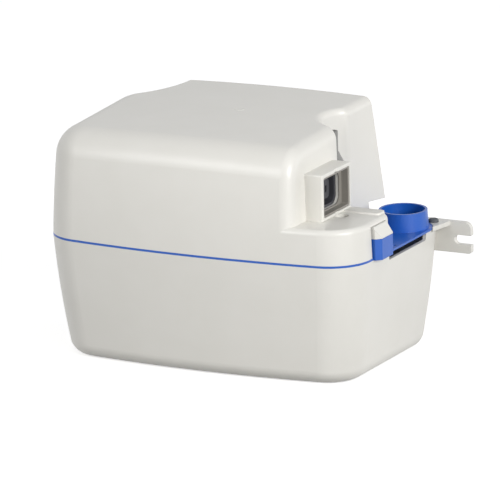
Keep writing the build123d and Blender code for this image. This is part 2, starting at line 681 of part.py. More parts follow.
with BuildPart() as top_cover:
    add(tall_form(0))
    add(platform_form(0))
    # raised strip along the platform's back edge
    with BuildSketch(Plane.XY.offset(platform_z - overlap)):
        with Locations(((lobe_x + strip_end) / 2, platform_back - strip_inset - strip_width / 2)):
            RectangleRounded(strip_end - lobe_x, strip_width, strip_corner)
    extrude(amount=overlap + strip_height, taper=strip_taper)
    add(hood.part)
    add(tall_form(wall), mode=Mode.SUBTRACT)
    add(platform_form(wall), mode=Mode.SUBTRACT)
    # boss for the cover screw, and its recess
    with Locations((screw_x, screw_y, platform_z - overlap)):
        Cylinder(boss_radius, boss_depth, align=downward)
    with Locations((screw_x, screw_y, platform_z)):
        CounterBoreHole(screw_radius + seam, screw_head + head_gap, recess_depth, depth=body_depth)
    # room for the power socket behind the hood, its recess and the port between them
    with Locations((port_x - port_wall, socket_hood_y, hood_z + socket_hood_height / 2 - wall)):
        Box(2 * lobe_round, hood_inner_y, 2 * platform_height, mode=Mode.SUBTRACT,
            align=(Align.MAX, Align.CENTER, Align.MAX))
    with BuildSketch(Plane.YZ.offset(port_x)):
        with Locations((socket_hood_y, hood_z)):
            RectangleRounded(socket_hood_width - 2 * socket_frame, socket_hood_height - 2 * socket_frame,
                             recess_corner)
    extrude(amount=2 * socket_recess, mode=Mode.SUBTRACT)
    with BuildSketch(Plane.YZ.offset(port_x - 2 * port_wall)):
        with Locations((socket_hood_y, hood_z)):
            RectangleRounded(port_width, port_height, port_corner)
    extrude(amount=3 * port_wall, mode=Mode.SUBTRACT)
    # window for the latch tower, and the notch low in the back lobe
    with Locations((half_length, latch_y, deck_z)):
        Box(2 * (half_length - tower_x + overlap), latch_width + 2 * latch_gap,
            2 * (platform_height - wall), mode=Mode.SUBTRACT)
    with Locations((back_lobe_x, back_y, deck_z)):
        Box(2 * cable_notch_length, 2 * cable_notch_width, 2 * cable_notch_height, mode=Mode.SUBTRACT)
finish(top_cover, "top_cover")

with BuildPart() as cover_screw:
    with Locations((screw_x, screw_y, platform_z - recess_depth)):
        Cylinder(screw_head, head_height, align=upward)
        Cylinder(screw_radius, screw_reach, align=downward)
    fillet(cover_screw.edges().group_by(Axis.Z)[-1], head_round)
finish(cover_screw, "cover_screw")

# ---------------------------------------------------------------- pump casing below the plate
casing_top = volute_bottom + volute_height
screw_circle = volute_radius - ear_inset
pipe_seat_radius = pipe_radius + close_fit

with BuildPart() as volute_housing:
    with Locations((0, motor_y, pump_z)):
        Cylinder(volute_radius, casing_top - pump_z, align=upward)
    with Locations((0, motor_y, casing_top)):
        Cylinder(tube_radius, plate_z - casing_top, align=upward)
    with Locations((0, motor_y, plate_z)):
        Cylinder(tube_flange, tube_flange_thickness, align=downward)
    with Locations((0, motor_y, pump_z)):
        with PolarLocations(screw_circle, ear_count, start_angle=ear_start):
            Cylinder(ear_radius, casing_top - pump_z, align=upward)
    # ribs from the tube down to the casing
    with BuildSketch(Plane.XZ.offset(-motor_y)):
        with BuildLine():
            Polyline((tube_radius - overlap, casing_top - overlap),
                     (volute_radius - rib_inset, casing_top - overlap),
                     (tube_radius - overlap, casing_top + rib_rise), close=True)
        make_face()
        mirror(about=Plane.YZ)
    extrude(amount=rib_thickness / 2, both=True)
    # tangential outlet with a sleeve for the discharge pipe
    with BuildSketch(Plane.YZ):
        with Locations((valve_y, outlet_z)):
            Circle(pipe_radius)
    extrude(amount=outlet_reach)
    with BuildSketch(Plane.YZ.offset(outlet_reach)):
        with Locations((valve_y, outlet_z)):
            Circle(pipe_radius + sleeve_wall)
    extrude(amount=-sleeve_length)
    # impeller chamber, outlet bore, pipe seat, shaft tube and its drain windows
    with Locations((0, motor_y, pump_z)):
        Cylinder(volute_radius - chamber_wall, impeller_height + chamber_room, align=upward,
                 mode=Mode.SUBTRACT)
    with BuildSketch(Plane.YZ):
        with Locations((valve_y, outlet_z)):
            Circle(outlet_radius)
    extrude(amount=2 * outlet_reach, mode=Mode.SUBTRACT)
    with BuildSketch(Plane.YZ.offset(outlet_reach)):
        with Locations((valve_y, outlet_z)):
            Circle(pipe_seat_radius)
    extrude(amount=-sleeve_depth, mode=Mode.SUBTRACT)
    with Locations((0, motor_y, pump_z)):
        Cylinder(tube_bore, body_depth, align=upward, mode=Mode.SUBTRACT)
    with Locations((0, motor_y, (casing_top + plate_z) / 2 + drain_lift)):
        Box(drain_width, 3 * tube_radius, drain_height, mode=Mode.SUBTRACT)
    with Locations((0, motor_y, pump_z)):
        with PolarLocations(screw_circle, ear_count, start_angle=ear_start):
            Cylinder(pilot_radius, 2 * pilot_depth, mode=Mode.SUBTRACT)
finish(volute_housing, "volute_housing")

with BuildPart() as volute_cover:
    with Locations((0, motor_y, volute_bottom)):
        Cylinder(volute_radius, volute_floor, align=upward)
        Cylinder(suction_radius + suction_lip_wall, suction_lip, align=downward)
        with PolarLocations(screw_circle, ear_count, start_angle=ear_start):
            Cylinder(ear_radius, volute_floor, align=upward)
    with Locations((0, motor_y, volute_bottom)):
        Cylinder(suction_radius, 4 * volute_floor, mode=Mode.SUBTRACT)
        with PolarLocations(screw_circle, ear_count, start_angle=ear_start):
            CounterSinkHole(casing_screw + screw_clearance, casing_screw_head + seam, depth=body_depth)
finish(volute_cover, "volute_cover")

with BuildPart() as volute_screws:
    with Locations((0, motor_y, volute_bottom + seam)):
        with PolarLocations(screw_circle, ear_count, start_angle=ear_start):
            Cylinder(casing_screw, casing_screw_length, align=upward)
            Cone(casing_screw_head, casing_screw, casing_screw_cone, align=upward)
finish(volute_screws, "volute_screws")

# discharge pipe: from the casing's outlet, round a bend, up into the lid plate
with BuildPart() as discharge_pipe:
    pipe_start = outlet_reach - sleeve_depth + pipe_gap
    with BuildLine(Plane.XZ.offset(-valve_y)) as route:
        Line((pipe_start, outlet_z), (valve_x - pipe_bend, outlet_z))
        JernArc((valve_x - pipe_bend, outlet_z), (1, 0), pipe_bend, 90)
        Line((valve_x, outlet_z + pipe_bend), (valve_x, plate_z - riser_stop - pipe_gap))
    with BuildSketch(Plane((pipe_start, valve_y, outlet_z), z_dir=(1, 0, 0))):
        Circle(pipe_radius)
        Circle(outlet_radius, mode=Mode.SUBTRACT)
    sweep(path=route.line)
finish(discharge_pipe, "discharge_pipe")

# ---------------------------------------------------------------- check valve on the plate
seal_z = valve_split_z - seal_thickness
chamber_radius = ball_radius + ball_gap
with BuildPart() as valve_body:
    with Locations((valve_x, valve_y, deck_z)):
        Cylinder(valve_radius, valve_split_z - deck_z, align=upward)
        Cylinder(seat_radius, body_depth, mode=Mode.SUBTRACT)
    with Locations((valve_x, valve_y, valve_seat_z)):
        Cylinder(chamber_radius, body_depth, align=upward, mode=Mode.SUBTRACT)
    with Locations((valve_x, valve_y, seal_z)):
        Cylinder(valve_radius - seal_wall, 2 * seal_thickness, align=upward, mode=Mode.SUBTRACT)
finish(valve_body, "valve_body")

with BuildPart() as valve_seal:
    with Locations((valve_x, valve_y, seal_z)):
        Cylinder(valve_radius - seal_wall - close_fit, seal_thickness, align=upward)
        Cylinder(chamber_radius, 4 * seal_thickness, mode=Mode.SUBTRACT)
finish(valve_seal, "valve_seal")

ball_z = valve_seat_z + sqrt(ball_radius**2 - seat_radius**2) + close_fit
with BuildPart() as valve_ball:
    with Locations((valve_x, valve_y, ball_z)):
        Sphere(ball_radius)
finish(valve_ball, "valve_ball")

cone_z = deck_z + valve_height
with BuildPart() as valve_cap:
    with Locations((valve_x, valve_y, valve_split_z)):
        Cylinder(valve_radius, cone_z - valve_split_z, align=upward)
    with Locations((valve_x, valve_y, cone_z)):
        Cone(valve_radius, nipple_radius + seam, cone_height, align=upward)
    with Locations((valve_x, valve_y, cone_z + cone_height)):
        Cylinder(nipple_radius, nipple_length, align=upward)
        Cylinder(nipple_radius - nipple_wall, 4 * valve_height, mode=Mode.SUBTRACT)
    with Locations((valve_x, valve_y, valve_split_z)):
        Cylinder(chamber_radius, ball_z + ball_radius + ball_lift + seam - valve_split_z,
                 align=upward, mode=Mode.SUBTRACT)
finish(valve_cap, "valve_cap")

# ---------------------------------------------------------------- float and its switch gear
with BuildPart() as float_body:
    with Locations((float_x, float_y, float_bottom)):
        Cylinder(float_radius, float_height, align=upward)
    fillet(float_body.edges(), float_edge)
    with Locations((float_x, float_y, float_bottom)):
        Cylinder(rod_radius + press, body_depth, mode=Mode.SUBTRACT)
finish(float_body, "float_body")

rod_top = pivot_z - lever_thickness / 2 - seam
with BuildPart() as float_rod:
    with Locations((float_x, float_y, float_bottom - rod_end)):
        Cylinder(rod_radius, rod_top - float_bottom + rod_end, align=upward)
finish(float_rod, "float_rod")

with BuildPart() as float_clips:
    with Locations((float_x, float_y, float_bottom - clip_thickness),
                   (float_x, float_y, float_bottom + float_height)):
        Cylinder(clip_radius, clip_thickness, align=upward)
        Cylinder(rod_radius + press, clip_thickness, align=upward, mode=Mode.SUBTRACT)
finish(float_clips, "float_clips")

# each switch hangs from its plunger, its short end towards the left end of the cover
cheek_y = (switch_pitch + switch_thick) / 2 + cheek_gap + cheek_thickness / 2
body_low = plunger_x - body_lead
body_high = body_low + switch_length
body_mid = (body_low + body_high) / 2
switch_foot = deck_z + bracket_floor
pin_places = [(x, deck_z + pin_rise) for x in (body_low + pin_inset, body_high - pin_inset)]
pin_half = cheek_y + cheek_thickness / 2 + pin_end

with BuildPart() as switch_bracket:
    with Locations((body_mid, float_y, deck_z)):
        Box(switch_length + 2 * bracket_margin, 2 * cheek_y + cheek_thickness, bracket_floor, align=upward)
    for side in (-1, 1):
        with BuildSketch(Plane.XZ.offset(-float_y - side * cheek_y)):
            with BuildLine():
                Polyline((body_low - bracket_margin, deck_z), (body_high + bracket_margin, deck_z),
                         (body_high + bracket_margin, deck_z + cheek_back),
                         (pivot_x + cheek_half, pivot_z + cheek_cap),
                         (pivot_x - cheek_half, pivot_z + cheek_cap),
                         (body_low - bracket_margin, deck_z + cheek_front), close=True)
            make_face()
        extrude(amount=cheek_thickness / 2, both=True)
    with BuildSketch(Plane.XZ.offset(-float_y)):
        with Locations((pivot_x, pivot_z)):
            Circle(pivot_radius + running)
        with Locations(*pin_places):
            Circle(pivot_radius)
    extrude(amount=2 * cheek_y, both=True, mode=Mode.SUBTRACT)
finish(switch_bracket, "switch_bracket")


def micro_switch(y, name):
    """A snap-action switch lying on the bracket, its plunger facing up."""
    with BuildPart() as switch:
        with Locations((body_mid, y, switch_foot)):
            Box(switch_length, switch_thick, switch_tall, align=upward)
        fillet(switch.edges().filter_by(Axis.Y), switch_edge)
        with Locations((plunger_x, y, switch_top)):
            Cylinder(plunger_radius + running, plunger_seat, mode=Mode.SUBTRACT)
        with BuildSketch(Plane.XZ.offset(-y)):
            with Locations(*pin_places):
                Circle(pivot_radius)
        extrude(amount=switch_thick, both=True, mode=Mode.SUBTRACT)
    finish(switch, name)


def plunger(y, top, travel, name):
    """The plunger of a snap-action switch, from its top down into the switch."""
    with BuildPart() as button:
        with Locations((plunger_x, y, top)):
            Cylinder(plunger_radius, top - switch_top + plunger_hidden - travel, align=downward)
        fillet(button.edges().group_by(Axis.Z)[-1], plunger_edge)
    finish(button, name)


run_y, alarm_y = float_y - switch_pitch / 2, float_y + switch_pitch / 2
plunger_top = pivot_z - lever_thickness / 2 - lever_gap
micro_switch(run_y, "run_switch")
micro_switch(alarm_y, "alarm_switch")
plunger(run_y, plunger_top, run_travel, "run_plunger")
plunger(alarm_y, plunger_top - alarm_drop, alarm_travel, "alarm_plunger")

with BuildPart() as switch_pins:
    with BuildSketch(Plane.XZ.offset(-float_y)):
        with Locations(*pin_places):
            Circle(pivot_radius - press)
    extrude(amount=pin_half, both=True)
finish(switch_pins, "switch_pins")

with BuildPart() as lever_pin:
    with BuildSketch(Plane.XZ.offset(-float_y)):
        with Locations((pivot_x, pivot_z)):
            Circle(pivot_radius)
    extrude(amount=pin_half, both=True)
finish(lever_pin, "lever_pin")

lever_half = cheek_y - cheek_thickness / 2 - lever_side
with BuildPart() as switch_lever:
    with BuildSketch(Plane.XY.offset(pivot_z - lever_thickness / 2)):
        with BuildLine():
            Polyline((plunger_x - lever_nose, float_y), (plunger_x - lever_nose, float_y - lever_half),
                     (pivot_x + lever_shoulder, float_y - lever_half),
                     (float_x - lever_neck, float_y - lever_end),
                     (float_x + lever_end, float_y - lever_end), (float_x + lever_end, float_y), close=True)
        make_face()
        mirror(about=Plane.XZ.offset(-float_y))
    extrude(amount=lever_thickness)
    with BuildSketch(Plane.XZ.offset(-float_y)):
        with Locations((pivot_x, pivot_z)):
            Circle(pivot_radius + lever_hub)
    extrude(amount=lever_half, both=True)
    with BuildSketch(Plane.XZ.offset(-float_y)):
        with Locations((pivot_x, pivot_z)):
            Circle(pivot_radius + running)
    extrude(amount=2 * lever_half, both=True, mode=Mode.SUBTRACT)
finish(switch_lever, "switch_lever")

# ---------------------------------------------------------------- motor
corner_x = stack_width / 2 - post_inset
ring_x = rotor_radius + ring_offset       # shading rings beside the bore
post_rows = (motor_y - stack_front + post_inset, motor_y + post_back)
posts = [(x, y) for x in (-corner_x, corner_x) for y in post_rows]

with BuildPart() as lamination_stack:
    with BuildSketch(Plane.XY.offset(stack_bottom)):
        with Locations((0, motor_y + (stack_back - stack_front) / 2)):
            RectangleRounded(stack_width, stack_front + stack_back, stack_corner)
        with Locations((0, motor_y)):
            Circle(rotor_radius + air_gap, mode=Mode.SUBTRACT)
        with Locations((0, motor_y + stack_back - coil_leg - coil_window / 2)):
            Rectangle(stack_width - 2 * coil_leg, coil_window, mode=Mode.SUBTRACT)
        with Locations(*posts):
            Circle(stack_bore, mode=Mode.SUBTRACT)
        # two slots for each shading ring
        for side in (-1, 1):
            ring_y = motor_y - side * ring_shift
            with Locations((side * ring_x, ring_y)):
                with GridLocations(1, ring_width, 1, 2):
                    Rectangle(2 * ring_wire, ring_slot, mode=Mode.SUBTRACT)
    extrude(amount=stack_thickness)
finish(lamination_stack, "lamination_stack")

leg_y = motor_y + stack_back - coil_leg / 2
leg_span = stack_width - 2 * coil_leg
leg_mid = (stack_bottom + stack_top) / 2


def coil_ring(x, length, inner_gap, build):
    """A rectangular tube round the coil leg, centred at x along it."""
    outer = inner_gap + build
    with BuildPart() as ring:
        with BuildSketch(Plane.YZ.offset(x - length / 2)):
            with Locations((leg_y, leg_mid)):
                RectangleRounded(coil_leg + 2 * outer, stack_thickness + 2 * outer, outer)
                Rectangle(coil_leg + 2 * inner_gap, stack_thickness + 2 * inner_gap, mode=Mode.SUBTRACT)
        extrude(amount=length)
    return ring.part


bobbin_length = leg_span - 2 * seam
flange_x = (bobbin_length - bobbin_wall) / 2
with BuildPart() as coil_bobbin:
    add(coil_ring(0, bobbin_length, bobbin_gap, bobbin_wall))
    for x in (-flange_x, flange_x):
        add(coil_ring(x, bobbin_wall, bobbin_gap, coil_build + 2 * bobbin_wall))
finish(coil_bobbin, "coil_bobbin")

with BuildPart() as coil_winding:
    add(coil_ring(0, bobbin_length - 2 * bobbin_wall - 2 * close_fit, bobbin_gap + bobbin_wall + coil_gap,
                  coil_build))
finish(coil_winding, "coil_winding")

with BuildPart() as shading_rings:
    for side in (-1, 1):
        with BuildSketch(Plane.YZ.offset(side * ring_x - ring_wire + close_fit)):
            with Locations((motor_y - side * ring_shift, leg_mid)):
                Rectangle(ring_width + ring_wire, stack_thickness + 2 * ring_wire + 2 * close_fit)
                Rectangle(ring_width - ring_wire, stack_thickness + 2 * close_fit, mode=Mode.SUBTRACT)
        extrude(amount=2 * ring_wire - 2 * close_fit)
finish(shading_rings, "shading_rings")

with BuildPart() as motor_standoffs:
    with Locations(*[(x, y, deck_z) for x, y in posts]):
        Cylinder(standoff_radius, stack_lift, align=upward)
        Cylinder(stack_bore, 4 * stack_lift, mode=Mode.SUBTRACT)
finish(motor_standoffs, "motor_standoffs")

with BuildPart() as motor_screws:
    with Locations(*[(x, y, stack_top) for x, y in posts]):
        Cylinder(motor_screw_radius, stack_thickness + stack_lift - overlap, align=downward)
        Cylinder(motor_screw_head, motor_screw_top, align=upward)
finish(motor_screws, "motor_screws")


def hub_place(face, way):
    """Middle of a bearing, in a bracket that stands on a face of the stack."""
    return (0, motor_y, face + way * (bracket_rise + bracket_plate - bearing_length / 2))


def motor_bracket(face, way, name):
    """A bridge across the stack that holds a bearing on the motor's axis."""
    half = stack_width / 2
    bridge = face + way * bracket_rise
    back = bridge + way * bracket_plate
    with BuildPart() as bracket:
        with BuildSketch(Plane.XZ.offset(-motor_y)):
            with BuildLine():
                Polyline((0, bridge), (half - bracket_foot - bracket_bend, bridge),
                         (half - bracket_foot, face), (half, face), (half - bracket_foot, back),
                         (0, back), close=True)
            make_face()
            mirror(about=Plane.YZ)
        extrude(amount=bracket_width / 2, both=True)
        with Locations(hub_place(face, way)):
            Cylinder(hub_radius, bearing_length)
            Cylinder(bearing_radius, 4 * bearing_length, mode=Mode.SUBTRACT)
    finish(bracket, name)


motor_bracket(stack_top, 1, "upper_bracket")
motor_bracket(stack_bottom, -1, "lower_bracket")
for name, face, way in (("upper_bearing", stack_top, 1), ("lower_bearing", stack_bottom, -1)):
    with BuildPart() as bearing:
        with Locations(hub_place(face, way)):
            Cylinder(bearing_radius - press, bearing_length)
            Cylinder(shaft_radius + running, 4 * bearing_length, mode=Mode.SUBTRACT)
    finish(bearing, name)

# ---------------------------------------------------------------- rotor, impeller and fan
impeller_z = pump_z + impeller_gap
shaft_foot = impeller_z + impeller_disc
shaft_bore = shaft_radius + press
with BuildPart() as motor_shaft:
    with Locations((0, motor_y, shaft_foot)):
        Cylinder(shaft_radius, fan_bottom + fan_height + overlap - shaft_foot, align=upward)
finish(motor_shaft, "motor_shaft")

with BuildPart() as rotor_core:
    with Locations((0, motor_y, leg_mid)):
        Cylinder(rotor_radius, stack_thickness + 2 * rotor_over)
        Cylinder(shaft_bore, 3 * stack_thickness, mode=Mode.SUBTRACT)
finish(rotor_core, "rotor_core")


def curved_blades(count, inner, outer, height, sweep_back):
    """Upright blades between two radii round the motor axis, curved backwards."""
    with BuildPart() as blades:
        for turn in range(count):
            start = 360 / count * turn
            middle = (inner + outer) / 2
            points = [(r * cos(radians(start + lag)), motor_y + r * sin(radians(start + lag)))
                      for r, lag in ((inner, 0), (middle, blade_curve * sweep_back), (outer, sweep_back))]
            with BuildSketch():
                with BuildLine():
                    ThreePointArc(*points)
                trace(line_width=blade_thickness)
            extrude(amount=height)
    return blades.part


with BuildPart() as impeller:
    with Locations((0, motor_y, impeller_z + impeller_height - impeller_disc)):
        Cylinder(impeller_radius, impeller_disc, align=upward)
        Cylinder(shaft_radius + impeller_hub, impeller_height - impeller_disc, align=downward)
    vanes = curved_blades(impeller_vanes, shaft_radius + impeller_hub / 2, impeller_radius - seam,
                          impeller_height - impeller_disc + close_fit, impeller_sweep)
    add(vanes.moved(Location((0, 0, impeller_z))))
    with Locations((0, motor_y, shaft_foot)):
        Cylinder(shaft_bore, 4 * impeller_height, align=upward, mode=Mode.SUBTRACT)
finish(impeller, "impeller")

with BuildPart() as cooling_fan:
    with Locations((0, motor_y, fan_bottom)):
        Cylinder(fan_hub, fan_height, align=upward)
        Cylinder(fan_radius - 2 * fan_disc, fan_disc, align=upward)
    blades = curved_blades(fan_blades, fan_hub - overlap, fan_radius, fan_height, fan_sweep)
    add(blades.moved(Location((0, 0, fan_bottom))))
    with Locations((0, motor_y, fan_bottom)):
        Cylinder(shaft_bore, 4 * fan_height, mode=Mode.SUBTRACT)
finish(cooling_fan, "cooling_fan")

with BuildPart() as shaft_slinger:
    with Locations((0, motor_y, deck_z + slinger_gap)):
        Cylinder(slinger_radius, slinger_thickness, align=upward)
        Cylinder(shaft_bore, 4 * slinger_thickness, mode=Mode.SUBTRACT)
finish(shaft_slinger, "shaft_slinger")

# ---------------------------------------------------------------- power socket
bezel_width = socket_hood_width - 2 * socket_frame - seam
bezel_height = socket_hood_height - 2 * socket_frame - seam
with BuildPart() as socket_bezel:
    with BuildSketch(Plane.YZ.offset(port_x)):
        with Locations((socket_hood_y, hood_z)):
            RectangleRounded(bezel_width, bezel_height, recess_corner)
    extrude(amount=socket_recess - bezel_inset)
    with BuildSketch(Plane.YZ.offset(port_x + bezel_floor)):
        with Locations((socket_hood_y, hood_z)):
            RectangleRounded(bezel_width - 2 * bezel_wall, bezel_height - 2 * bezel_wall,
                             recess_corner - bezel_wall / 2)
    extrude(amount=socket_recess, mode=Mode.SUBTRACT)
    with BuildSketch(Plane.YZ.offset(port_x - overlap)):
        with Locations((socket_hood_y, hood_z)):
            RectangleRounded(port_width, port_height, port_corner)
    extrude(amount=4 * bezel_floor, mode=Mode.SUBTRACT)
finish(socket_bezel, "socket_bezel")

contacts = [(socket_hood_y - contact_pitch, hood_z), (socket_hood_y, hood_z + contact_rise),
            (socket_hood_y + contact_pitch, hood_z)]
with BuildPart() as power_socket:
    with BuildSketch(Plane.YZ.offset(socket_front)):
        with Locations((socket_hood_y, hood_z)):
            RectangleRounded(socket_width, socket_height, socket_corner)
    extrude(amount=-socket_depth)
    with BuildSketch(Plane.YZ.offset(socket_front)):
        with Locations((socket_hood_y, hood_z)):
            RectangleRounded(port_width - 2 * mouth_inset, port_height - 2 * mouth_inset,
                             port_corner - mouth_inset)
    extrude(amount=-socket_pocket, mode=Mode.SUBTRACT)
    with BuildSketch(Plane.YZ.offset(socket_front - socket_pocket)):
        with Locations((socket_hood_y, hood_z)):
            RectangleRounded(port_width - 2 * core_inset, port_height - 2 * core_inset, core_corner)
    extrude(amount=socket_pocket - core_gap)
    with BuildSketch(Plane.YZ.offset(socket_front)):
        with Locations(*contacts):
            Rectangle(contact_width + 2 * contact_gap, contact_height + 2 * contact_gap)
    extrude(amount=contact_back - socket_depth, mode=Mode.SUBTRACT)
finish(power_socket, "power_socket")

with BuildPart() as socket_contacts:
    with BuildSketch(Plane.YZ.offset(socket_front - socket_depth + contact_back + contact_gap)):
        with Locations(*contacts):
            Rectangle(contact_width, contact_height)
            Rectangle(contact_width - 2 * contact_wall, contact_height - 2 * contact_wall,
                      mode=Mode.SUBTRACT)
    extrude(amount=contact_length)
finish(socket_contacts, "socket_contacts")

shelf_z = hood_z - socket_height / 2
leg_x = socket_front - socket_depth / 2 - leg_inset
with BuildPart() as socket_bracket:
    with Locations((socket_front - socket_depth / 2, socket_hood_y, shelf_z)):
        Box(socket_depth - overlap, socket_width, shelf_thickness, align=downward)
    for side in (-1, 1):
        with Locations((leg_x, socket_hood_y + side * (socket_width / 2 - leg_inset), shelf_z)):
            Box(leg_length, leg_thickness, shelf_z - deck_z, align=downward)
    with Locations((leg_x, socket_hood_y, deck_z)):
        Box(foot_length, socket_width + 2 * foot_margin, foot_thickness, align=upward)
finish(socket_bracket, "socket_bracket")

# ---------------------------------------------------------------- terminal block
terminal_top = deck_z + terminal_height
with BuildPart() as terminal_block:
    with Locations((terminal_x, terminal_y, deck_z)):
        Box(terminal_length, terminal_width, terminal_height, align=upward)
    chamfer(terminal_block.edges().filter_by(Axis.X).group_by(Axis.Z)[-1], terminal_slope)
    with Locations((terminal_x, terminal_y, terminal_top)):
        with GridLocations(terminal_pitch, 1, terminal_count, 1):
            Cylinder(well_radius, 2 * well_depth, mode=Mode.SUBTRACT)
finish(terminal_block, "terminal_block")

with BuildPart() as terminal_screws:
    with Locations((terminal_x, terminal_y, terminal_top - well_depth)):
        with GridLocations(terminal_pitch, 1, terminal_count, 1):
            Cylinder(terminal_screw, terminal_screw_height, align=upward)
finish(terminal_screws, "terminal_screws")
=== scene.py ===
import json
from math import cos, pi, radians, sin

import bmesh
import bpy
from mathutils import Matrix, Vector


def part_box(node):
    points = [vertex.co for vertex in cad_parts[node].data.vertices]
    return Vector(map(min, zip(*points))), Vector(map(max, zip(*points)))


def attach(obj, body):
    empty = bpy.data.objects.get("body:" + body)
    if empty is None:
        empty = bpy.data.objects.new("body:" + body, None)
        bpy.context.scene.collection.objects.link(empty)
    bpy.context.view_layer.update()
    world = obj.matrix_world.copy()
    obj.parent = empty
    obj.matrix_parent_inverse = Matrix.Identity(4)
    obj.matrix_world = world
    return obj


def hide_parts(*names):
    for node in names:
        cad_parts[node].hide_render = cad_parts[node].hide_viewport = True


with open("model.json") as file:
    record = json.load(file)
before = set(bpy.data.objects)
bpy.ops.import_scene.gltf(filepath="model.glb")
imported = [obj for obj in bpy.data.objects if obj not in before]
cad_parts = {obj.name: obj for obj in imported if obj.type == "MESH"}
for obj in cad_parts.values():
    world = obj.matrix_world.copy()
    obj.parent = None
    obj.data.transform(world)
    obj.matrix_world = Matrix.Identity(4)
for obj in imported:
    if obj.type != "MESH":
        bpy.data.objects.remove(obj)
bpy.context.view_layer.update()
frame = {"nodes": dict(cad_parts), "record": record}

MM = 0.001
nodes = frame["nodes"]
scene = bpy.context.scene
scene.view_settings.view_transform = "Standard"

# ------------------------------------------------------------------ camera
AZIMUTH, ELEVATION, ROLL = radians(27.24), radians(14.71), radians(-1.25)
CAMERA_PLACE = Vector((2322.93, -4499.81, 1397.13)) * MM
LENS, SENSOR = 576.0, 36.0
FAR_CLIP = 60


def camera_matrix():
    """The camera's place and its right, up and back directions, rolled a little."""
    back = Vector((sin(AZIMUTH) * cos(ELEVATION), -cos(AZIMUTH) * cos(ELEVATION), sin(ELEVATION)))
    right = Vector((cos(AZIMUTH), sin(AZIMUTH), 0))
    up = back.cross(right)
    across = right * cos(ROLL) + up * sin(ROLL)
    upright = up * cos(ROLL) - right * sin(ROLL)
    turn = Matrix((across, upright, back)).transposed().to_4x4()
    return Matrix.Translation(CAMERA_PLACE) @ turn


camera = bpy.data.objects.new("camera", bpy.data.cameras.new("camera"))
camera.data.lens = LENS
camera.data.sensor_width = SENSOR
camera.data.clip_end = FAR_CLIP
camera.matrix_world = camera_matrix()
scene.collection.objects.link(camera)
scene.camera = camera

# ------------------------------------------------------------------ light, background and floor
MIDDLE = (0, 0, 0.08)          # what the lamps point at, in metres
ROOM_STRENGTH = 0.33           # light of the room on the object
FLOOR_SIZE, FLOOR_PARTS = 30, 8
FLOOR_DROP = 0.0002            # below the object's foot, so that the two faces don't meet
FLOOR_LIFT = 0.62              # lifts the floor to white where it is seen as background


def srgb(code):
    """An sRGB hex colour as linear numbers, opaque."""
    parts = [int(code[i:i + 2], 16) / 255 for i in (0, 2, 4)]
    return [p / 12.92 if p <= 0.04045 else ((p + 0.055) / 1.055) ** 2.4 for p in parts] + [1.0]


def add_node(tree, kind, inputs=(), **settings):
    """Adds a node, sets its properties, and sets or links each named input."""
    node = tree.nodes.new(kind)
    for key, value in settings.items():
        setattr(node, key, value)
    for key, value in dict(inputs).items():
        socket = node.inputs[key]
        if isinstance(value, bpy.types.NodeSocket):
            tree.links.new(value, socket)
        else:
            socket.default_value = value
    return node


def area_light(name, place, size, power):
    """A white rectangular lamp that faces the object."""
    lamp = bpy.data.lights.new(name, "AREA")
    lamp.shape = "RECTANGLE"
    lamp.size, lamp.size_y = size
    lamp.energy = power
    holder = bpy.data.objects.new(name, lamp)
    holder.location = place
    holder.rotation_euler = (Vector(MIDDLE) - Vector(place)).to_track_quat("-Z", "Y").to_euler()
    scene.collection.objects.link(holder)


area_light("key_softbox", (1.8, -0.8, 0.82), (0.8, 0.8), 33)
area_light("front_fill", (-0.75, -1.8, 0.95), (1.3, 0.9), 19)
area_light("back_fill", (1.6, 1.5, 0.5), (1.2, 0.9), 5)


def background_rays(tree):
    """1 for the rays that see the background: from the camera, off gloss and through glass."""
    rays = add_node(tree, "ShaderNodeLightPath").outputs
    direct = add_node(tree, "ShaderNodeMath",
                      {0: rays["Is Camera Ray"], 1: rays["Is Transmission Ray"]}, operation="MAXIMUM")
    seen = add_node(tree, "ShaderNodeMath",
                    {0: direct.outputs[0], 1: rays["Is Glossy Ray"]}, operation="MAXIMUM")
    return seen.outputs[0]


def room():
    """A white background, and a dimmer one as light on the object."""
    world = bpy.data.worlds.new("studio")
    scene.world = world
    world.use_nodes = True
    tree = world.node_tree
    tree.nodes.clear()
    seen = background_rays(tree)
    dim = add_node(tree, "ShaderNodeBackground", {"Color": srgb("F4F6FA"), "Strength": ROOM_STRENGTH})
    white = add_node(tree, "ShaderNodeBackground", {"Color": srgb("FFFFFF"), "Strength": 1.0})
    mixed = add_node(tree, "ShaderNodeMixShader", {0: seen, 1: dim.outputs[0], 2: white.outputs[0]})
    add_node(tree, "ShaderNodeOutputWorld", {"Surface": mixed.outputs[0]})


